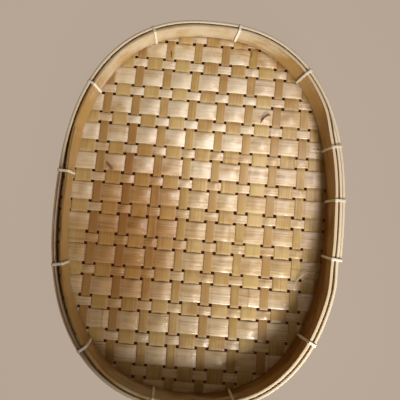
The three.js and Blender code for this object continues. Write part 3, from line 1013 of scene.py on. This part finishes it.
@dataclass
class Hoop:
    """One bamboo hoop: a split bent once round, its thinned ends lapped."""

    node: str
    rim: Rim
    finish: Material
    faces_out: bool
    lap_bearing: float
    tip: float
    swell: float
    seed: float
    lap: float = 140.0
    line: float = 0.75
    seat: float = 0.15
    uneven: float = 0.35
    # painted shade falls on the inner walls that face this way, away from the lamps
    dark_side: Vector = Vector((0.75, -0.66, 0.0))
    run_out: float = 32.0
    ease: float = 30.0
    edge_radius: float = 0.4
    spacing: float = 3.5

    @property
    def oval(self) -> Oval:
        """The hoop's outer face."""
        return self.rim.outer if self.faces_out else self.rim.inner

    @property
    def thickness(self) -> float:
        """The hoop's thickness away from its lap."""
        return self.rim.outer_thickness if self.faces_out else self.rim.inner_thickness

    def depths(self, far: float, round_trip: float) -> tuple[float, float]:
        """How deep the hoop's two faces lie behind its smooth face.

        Args:
            far: The distance from its first end.
            round_trip: The distance once round.

        Returns:
            The depth of the shallow and of the deep face.
        """
        if far <= round_trip:
            share = min(1.0, far / self.lap)
            nearing = smooth(round_trip - self.ease, round_trip, far)
            move = nearing * self.swell
            room = nearing * (self.tip + self.seat - self.swell)
            thin = self.tip + (self.thickness - self.tip) * share
            return move + room, thin + move
        share = (far - round_trip) / self.lap
        shallow = self.tip + (self.thickness - self.tip) * share + self.seat
        deep = self.thickness + self.swell
        end = round_trip + self.last_end()
        return shallow, deep - (deep - shallow) * 0.85 * smooth(end - self.run_out, end, far)

    def last_end(self) -> float:
        """How far the last end runs over the first before it is down to its tip."""
        spare = self.thickness + self.swell - self.seat - 2 * self.tip
        return self.lap * min(1.0, spare / (self.thickness - self.tip))

    def build(self) -> None:
        """Makes the hoop."""
        walked = self.oval.walk(math.radians(self.lap_bearing))
        round_trip = walked[-1][0]
        start = round_trip - self.lap / 2
        length = round_trip + self.last_end()
        count = round(length / self.spacing)
        height = self.rim.top - self.rim.foot
        distances = [far for far, _ in walked]

        def spot(far: float) -> Vector:
            """The point on the oval at a distance from the first end."""
            goal = (start + far) % round_trip
            after = min(len(walked) - 1, bisect.bisect_right(distances, goal))
            (a, p), (b, q) = walked[after - 1], walked[after]
            return p.lerp(q, (goal - a) / (b - a))

        stations = [(far, spot(far)) for far in (length * i / count for i in range(count + 1))]

        def place(station: tuple[float, Vector], point: Point) -> Placed:
            """Places one point of the hoop's section at one station."""
            far, here = station
            flat, out, depth = point
            shallow, deep = self.depths(far, round_trip)
            out_way = self.oval.normal(here)
            reach = -(shallow + (deep - shallow) * (1 - depth))
            if not self.faces_out:
                reach = -self.thickness + shallow + (deep - shallow) * depth
            up = flat * (height / 2 - self.edge_radius) + out * self.edge_radius
            ripple = 0.22 * waver(self.seed, far * 0.013) * (0.4 + 0.6 * (flat > 0))
            z = (self.rim.foot + self.rim.top) / 2 + up + ripple
            crest = smooth(0.05, 0.45, abs(out)) * (1.0 if flat > 0 else 0.0)
            if not self.faces_out:
                reach += self.rim.lean(here, z)
                reach -= self.uneven * (1 - depth) * crest * (1 + waver(self.seed + 5, far * 0.03))
            where = here + out_way * reach
            where.z = z
            return where, Vector((far, up, self.seed)), self.tone(here, far, z, depth, crest)

        made = sweep(stations, strip_outline(10, 6), place)
        settle(made, f"{self.node}_band", self.node, self.finish)

    def tone(self, here: Vector, far: float, z: float, depth: float, crest: float) -> Vector:
        """The tint, the painted shade and the paleness of the top edge, which is partly painted light and
        shade, at one place of the hoop.

        Args:
            here: The place on the oval.
            far: The distance from the hoop's first end.
            z: The height.
            depth: The share of the thickness there.
            crest: How far the place is up on the top edge.

        Returns:
            The three as one vector.
        """
        foot, top = self.rim.foot, self.rim.top
        gape = self.rim.open_share(here)
        # darker towards the foot
        foot_darkening = 1 - smooth(foot, foot + 7, z)
        tint = 0.8 + 0.5 * waver(self.seed + 3, far * 0.004) - 0.8 * foot_darkening
        if self.faces_out:
            # the outer hoop's top edge is pale, with painted shade on its outer part, and where the slot
            # gapes all but a thin line takes painted shade
            line = 0.6 if abs(depth - self.line) < 0.1 else 0.0
            pale_top_and_highlight = line * gape + (1 - gape) * (1 - 0.8 * smooth(0.8, 0.95, depth))
            return Vector((tint, 4.5 * crest * (1 - pale_top_and_highlight) - 2.0, crest * pale_top_and_highlight))
        out_way = self.oval.normal(here)
        low = 1 - smooth(foot, top - 2, z)
        # painted shade: dark brown on the inner wall that faces away from the lamps, most near its foot, and
        # on the top edge where the slot gapes
        shade = smooth(0.4, 0.8, out_way.dot(self.dark_side)) * (0.4 + 0.6 * low)
        # painted shade: the left and right inner walls, turned from the lamps, are deepened to a darker
        # golden brown
        left_wall_shade = smooth(0.3, 0.95, -out_way.x) * (1 - 0.8 * smooth(0.05, 0.6, out_way.y))
        right_wall_shade = 0.85 * smooth(0.15, 0.8, out_way.x)
        painted_shade = 4.5 * crest * (0.6 * gape) + 5.0 * shade * (1 - crest) - 2.0
        # painted highlight: the inner hoop's top edge is pale only towards the right, the side that faces the
        # lamps
        pale_top_and_highlight = 0.75 * smooth(-0.1, 0.7, here.x / self.oval.half_x)
        return Vector((tint - 3.0 * max(left_wall_shade, right_wall_shade), painted_shade, crest * pale_top_and_highlight))


@dataclass(frozen=True)
class Tie:
    """One tie, where its node is: its middle, its ways, and the corners of its loop."""

    node: str
    middle: Vector
    inner: Vector
    out_way: Vector
    low: Vector
    high: Vector
    lean: float
    tint: float

    @property
    def number(self) -> int:
        """The number in its name."""
        return int(self.node[-2:])

    @property
    def side_way(self) -> Vector:
        """The way along the rim."""
        return Vector((-self.out_way.y, self.out_way.x, 0.0))


@dataclass
class Ties:
    """Cane ties wound once round both hoops."""

    rim: Rim
    finish: Material
    width: float = 2.5
    thickness: float = 0.45
    clearance: float = 0.15
    slot_reach: float = 4.0
    foot_share: float = 0.9
    most_lean: float = 1.2
    corner: float = 1.5
    edge_radius: float = 0.25

    def loop(self, low: Vector, high: Vector) -> Iterator[tuple[float, float, float, float]]:
        """Walks once round a rectangle with rounded corners.

        Args:
            low: Its lowest corner: distance from the oval and height.
            high: Its highest corner.

        Yields:
            A point and the outward direction there.
        """
        radius = self.corner
        corners = [
            (high.x - radius, low.y + radius, -90),
            (high.x - radius, high.y - radius, 0),
            (low.x + radius, high.y - radius, 90),
            (low.x + radius, low.y + radius, 180),
        ]
        for x, y, first in corners:
            for i in range(7):
                turn = math.radians(first + 15 * i)
                yield x + radius * math.cos(turn), y + radius * math.sin(turn), math.cos(turn), math.sin(turn)

    def filled(self, low: Vector, high: Vector) -> list[tuple[float, float, float, float, float]]:
        """The loop with its straight stretches divided, and the distance walked at each point.

        Args:
            low: The loop's lowest corner.
            high: Its highest corner.

        Returns:
            For each point, its place, the outward direction and the distance.
        """
        bare = list(self.loop(low, high))
        points: list[tuple[float, float, float, float, float]] = []
        far = 0.0
        for a, b in zip(bare, [*bare[1:], bare[0]]):
            gap = math.dist(a[:2], b[:2])
            parts = max(1, round(gap / 1.2))
            for i in range(parts):
                share = i / parts
                points.append((*[p + (q - p) * share for p, q in zip(a, b)], far + gap * share))
            far += gap
        return [*points, (*bare[0], far)]

    def read(self) -> list[Tie]:
        """Finds the ties from their nodes."""
        found = []
        for node in sorted(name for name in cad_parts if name.startswith("cane_tie")):
            points = node_points(node)
            middle = sum(points, Vector()) / len(points)
            inner = self.nearest(middle)
            out_way = self.rim.inner.normal(inner)
            reaches = [(point - middle).dot(out_way) for point in points]
            heights = [point.z for point in points]
            inset = self.thickness / 2
            low = Vector((min(reaches) + inset, min(heights) + inset))
            high = Vector((max(reaches) - inset, max(heights) - inset))
            chance = random.Random(int(node[-2:]))
            lean, tint = chance.uniform(-self.most_lean, self.most_lean), chance.uniform(-1, 1)
            found.append(Tie(node, middle, inner, out_way, low, high, lean, tint))
        return found

    def slots(self) -> list[Matrix]:
        """Where the ties pass through the upstand, as matrices that turn a cube of size 1 into each slot."""
        sizes = (self.slot_reach, self.width + 4 * self.clearance, self.thickness + 2 * self.clearance, 1.0)
        found = []
        for tie in self.read():
            spot = tie.inner + tie.out_way * self.slot_reach / 2 + tie.side_way * tie.lean * self.foot_share
            spot.z = tie.low.y
            turn = Matrix.Rotation(math.atan2(tie.out_way.y, tie.out_way.x), 4, "Z")
            found.append(Matrix.Translation(spot) @ turn @ Matrix.Diagonal(sizes))
        return found

    def build(self) -> None:
        """Makes every tie."""
        for tie in self.read():
            self.build_one(tie)

    def build_one(self, tie: Tie) -> None:
        """Makes one tie."""
        low, high, number = tie.low, tie.high, tie.number

        def place(station: tuple[float, ...], point: Point) -> Placed:
            """Places one point of the tie's section at one station."""
            reach, height, out_x, out_y, far = station
            flat, out, depth = point
            inner = smooth(0.0, low.x, reach)
            narrow = 1 - 0.3 * inner * (1 - smooth(3.0, 10.0, height))
            breadth = self.width / 2 * narrow * (1 + 0.06 * waver(number, far * 0.1))
            across = flat * (breadth - self.edge_radius) + out * self.edge_radius
            off = (depth - 0.5) * self.thickness
            shift = tie.lean * (1 - height / high.y) + 0.12 * waver(number + 40, far * 0.12)
            slack = inner * self.rim.lean(tie.middle, min(height, self.rim.top))
            outwards = tie.out_way * (reach + slack + out_x * off)
            where = tie.middle + outwards + tie.side_way * (across + shift)
            spot = Vector((where.x, where.y, height + out_y * off))
            return spot, Vector((far, across, float(number))), Vector((tie.tint, 0.0, abs(out)))

        made = sweep(self.filled(low, high), strip_outline(4, 4), place)
        settle(made, f"{tie.node}_wrap", tie.node, self.finish)

    def nearest(self, middle: Vector) -> Vector:
        """The point of the inner hoop that is nearest to a tie."""
        bearing = math.atan2(middle.y, middle.x)
        near = [self.rim.inner.at_bearing(bearing + 0.002 * i) for i in range(-60, 61)]
        return min(near, key=lambda point: (point.xy - middle.xy).length)


@dataclass(frozen=True)
class Strand:
    """A splinter, a fibre or a cane's tail that has come loose and lies on the mat."""

    name: str
    course: tuple[tuple[float, float], ...]
    finish: Material
    width: float
    thickness: float = 0.4
    lift: float = 0.05
    slot: str = WEFT_SLOT
    ends: tuple[float, float] = (0.4, 0.2)
    pieces: int = 6

    def path(self, weave: Weave) -> list[tuple[Vector, Vector, float]]:
        """Draws the strand over the mat.

        Args:
            weave: The mat that carries it.

        Returns:
            Points along it, each with its direction and its share of the length.
        """
        marks = [Vector((x, y, 0.0)) for x, y in self.course]
        marks = [2 * marks[0] - marks[1], *marks, 2 * marks[-1] - marks[-2]]
        count = self.pieces * (len(marks) - 3)
        points = []
        for i in range(count + 1):
            at = min(i // self.pieces, len(marks) - 4)
            t = i / self.pieces - at
            a, b, c, d = marks[at : at + 4]
            bend, twist = 2 * a - 5 * b + 4 * c - d, 3 * b - a - 3 * c + d
            spot = 0.5 * (2 * b + (c - a) * t + bend * t**2 + twist * t**3)
            spot.z = weave.surface(spot.x, spot.y) + self.lift * math.sin(math.pi * i / count) + 0.05
            points.append(spot)
        befores, afters = [points[0], *points], [*points[1:], points[-1]]
        ways = [(after - before).normalized() for before, after in zip(befores, afters)]
        return [(spot, way, i / count) for i, (spot, way) in enumerate(zip(points, ways))]

    def build(self, weave: Weave) -> None:
        """Makes the strand."""

        def place(station: tuple[Vector, Vector, float], point: Point) -> Placed:
            """Places one point of the strand's section at one station."""
            spot, way, share = station
            flat, out, depth = point
            end = self.ends[share > 0.5]
            taper = end + (1 - end) * math.sin(math.pi * share)
            side = way.cross(Vector((0.0, 0.0, 1.0))).normalized()
            across = (flat * 0.7 + out * 0.3) * self.width / 2 * taper
            where = spot + side * across + Vector((0.0, 0.0, depth * self.thickness * taper))
            return where, Vector((share * 10, across, 5.0)), Vector((0.0, 0.0, abs(out)))

        made = sweep(self.path(weave), strip_outline(2, 4), place)
        settle(made, self.name, None, self.finish)


@dataclass(frozen=True)
class SoftBox:
    """A soft box with a grid, so that its light falls off round the spot that it is aimed at."""

    name: str
    place: Point
    aim: Point
    size: float
    spread: float
    power: float
    colour: Colour = (0.975, 0.97, 0.97)

    def hang(self) -> None:
        """Adds the lamp."""
        lamp = bpy.data.lights.new(self.name, "AREA")
        lamp.size, lamp.energy, lamp.color = self.size, self.power, self.colour
        lamp.spread = math.radians(self.spread)
        light = bpy.data.objects.new(self.name, lamp)
        light.location = self.place
        back = Vector(self.place) - Vector(self.aim)
        light.rotation_euler = back.to_track_quat("Z", "Y").to_euler()
        light.visible_camera = False
        bpy.context.scene.collection.objects.link(light)


@dataclass(frozen=True)
class Studio:
    """A plain pale table, soft light from the near right and from above, and the camera over the tray."""

    floor: Material
    lamps: tuple[SoftBox, ...]
    eye: Point = (-32.0, -15.0, 369.4)
    right: Point = (0.99591, 0.08566, 0.02872)
    up: Point = (-0.08826, 0.99041, 0.10633)
    lens: float = 34.68
    sensor: float = 36.0
    shift: tuple[float, float] = (0.0621, -0.0553)
    fill: float = 0.13
    fill_colour: Colour = (1.0, 0.77, 0.46)

    def build(self) -> None:
        """Makes the floor, the lights and the camera."""
        self.lay_floor()
        for lamp in self.lamps:
            lamp.hang()
        world = bpy.data.worlds.new("room")
        bpy.context.scene.world = world
        world.use_nodes = True
        sky = world.node_tree.nodes["Background"]
        sky.inputs["Color"].default_value = (*self.fill_colour, 1.0)
        sky.inputs["Strength"].default_value = self.fill
        self.set_camera()
        bpy.context.scene.view_settings.view_transform = "Standard"

    def lay_floor(self) -> None:
        """Makes the table that the tray lies on."""
        made = bmesh.new()
        bmesh.ops.create_grid(made, x_segments=8, y_segments=8, size=6.0)
        mesh = bpy.data.meshes.new("table")
        made.to_mesh(mesh)
        made.free()
        mesh.materials.append(self.floor)
        table = bpy.data.objects.new("table", mesh)
        bpy.context.scene.collection.objects.link(table)

    def set_camera(self) -> None:
        """Puts the camera where the photograph was taken from."""
        lens = bpy.data.cameras.new("camera")
        lens.lens, lens.sensor_width, lens.clip_start = self.lens, self.sensor, 0.01
        lens.shift_x, lens.shift_y = self.shift
        camera = bpy.data.objects.new("camera", lens)
        right, up = Vector(self.right), Vector(self.up)
        turn = Matrix((right, up, right.cross(up))).transposed()
        camera.matrix_world = Matrix.Translation(Vector(self.eye) * MM) @ turn.to_4x4()
        bpy.context.scene.collection.objects.link(camera)
        bpy.context.scene.camera = camera


# The wefts are paler than the warps, partly their own colour and partly painted sheen; they also carry the
# painted sheen patch and the darker brown that is partly painted shade.
WEFT = BambooFinish(
    WEFT_SLOT,
    pale=srgb(230, 206, 171),
    deep=srgb(203, 169, 118),
    vein=srgb(164, 122, 84),
    edge=srgb(165, 122, 78),
    olive_and_shade=srgb(208, 182, 122),
    edge_share=0.1,
    vein_share=0.5,
    roughness=0.27,
    gloss=0.9,
    relief=0.00035,
    brown_and_shade_share=0.85,
    painted_sheen_share=0.45,
)
WARP = BambooFinish(
    "warp_bamboo",
    pale=srgb(206, 175, 116),
    deep=srgb(177, 138, 82),
    vein=srgb(138, 100, 60),
    edge=srgb(140, 100, 60),
    olive_and_shade=srgb(188, 158, 86),
    edge_share=0.1,
    olive_and_shade_share=0.65,
    vein_share=0.22,
    brown_and_shade_share=0.85,
)
# On the hoops the olive colour is painted shade, and the pale edge colour is partly the cut fibres and partly
# painted highlight.
HOOP = BambooFinish(
    "hoop_bamboo",
    pale=srgb(206, 187, 154),
    deep=srgb(180, 140, 80),
    vein=srgb(150, 108, 62),
    edge=srgb(240, 222, 190),
    olive_and_shade=srgb(130, 76, 20),
    edge_share=0.9,
    olive_and_shade_share=0.9,
    vein_share=0.2,
    node_spacing=240.0,
)
SPLINTER = BambooFinish(
    "splinter_bamboo",
    pale=srgb(120, 80, 46),
    deep=srgb(84, 52, 28),
    vein=srgb(60, 36, 18),
    edge=srgb(140, 104, 60),
    olive_and_shade=srgb(96, 72, 38),
    edge_share=0.3,
)
TORN = BambooFinish(
    "torn_bamboo",
    pale=srgb(160, 116, 66),
    deep=srgb(132, 92, 48),
    vein=srgb(106, 70, 34),
    edge=srgb(176, 134, 82),
    olive_and_shade=srgb(146, 108, 56),
    edge_share=0.2,
)
CANE = CaneFinish(TIE_SLOT, pale=srgb(246, 238, 220), deep=srgb(216, 200, 168))
# The table's second colour is painted shade, laid under the tray.
TABLE = FloorFinish("table", srgb(187, 170, 153), srgb(58, 22, 14))
LAMPS = (
    SoftBox("low_box", (0.23, -0.4, 0.245), (0.0, 0.125, 0.0), 0.12, 56.0, 0.42),
    SoftBox("high_box", (0.22, 0.09, 0.45), (0.0, 0.06, 0.0), 0.1, 46.0, 0.066, (1.0, 0.95, 0.99)),
)


def lay_strands(weave: Weave, cane: Material) -> None:
    """Lays the loose things on the mat.

    Args:
        weave: The finished mat.
        cane: The ties' material.
    """
    weft, splinter, torn = weave.finishes[Family.WEFT], SPLINTER.material(), TORN.material()
    curl = ((54, 86.5), (56.6, 91.5), (60.5, 95), (64, 95))
    tear = ((-92.8, 36), (-88.9, 31.8), (-86, 29.5))
    first_fibre = ((-89, 27.8), (-85.4, 27.9), (-81.8, 29.4))
    second_fibre = ((-87.5, 31), (-85, 29), (-82.4, 27.6))
    first_scrape = ((-40, 153), (-39, 148), (-39, 144))
    second_scrape = ((41, 160), (41, 155), (40, 151))
    fibre = ((121, -47), (113, -53), (105, -54), (98, -61), (94, -70))
    tail = ((117.4, 65.3), (115, 64), (110, 64), (105, 65))
    for strand in (
        Strand("curled_splinter", curl, splinter, width=1.9, lift=1.2),
        Strand("torn_splinter", tear, torn, width=3.0, thickness=0.12, ends=(0.1, 0.95)),
        Strand("torn_fibre_1", first_fibre, weft, width=1.3, thickness=0.3, lift=0.4),
        Strand("torn_fibre_2", second_fibre, weft, width=0.9, thickness=0.3, lift=0.4),
        Strand("scrape_1", first_scrape, splinter, width=1.2, thickness=0.1),
        Strand("scrape_2", second_scrape, splinter, width=0.8, thickness=0.1),
        Strand("loose_fibre", fibre, cane, width=0.5, lift=2.0, slot=TIE_SLOT),
        Strand("cane_tail", tail, cane, width=1.1, lift=0.6, slot=TIE_SLOT),
    ):
        strand.build(weave)


def bend_hoops(rim: Rim) -> None:
    """Makes the two hoops of the rim."""
    finish = HOOP.material()
    outer = {"faces_out": True, "lap_bearing": 14, "tip": 2.2, "swell": rim.lap_swell, "seed": 81.0}
    inner = {"faces_out": False, "lap_bearing": 184, "tip": 0.6, "swell": 0.0, "seed": 87.0}
    Hoop("outer_hoop", rim, finish, **outer).build()
    Hoop("inner_hoop", rim, finish, **inner).build()


def main() -> None:
    """Builds the tray and the studio round it."""
    logging.basicConfig(level=logging.INFO, format="%(name)s: %(message)s")
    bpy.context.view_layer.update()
    rim = Rim.from_frame()
    cane = CANE.material()
    ties = Ties(rim, cane)
    weave = Weave(rim, {Family.WEFT: WEFT.material(), Family.WARP: WARP.material()}, ties.slots())
    weave.build()
    lay_strands(weave, cane)
    bend_hoops(rim)
    ties.build()
    Studio(TABLE.material(), LAMPS).build()


if __name__ == "__main__":
    main()
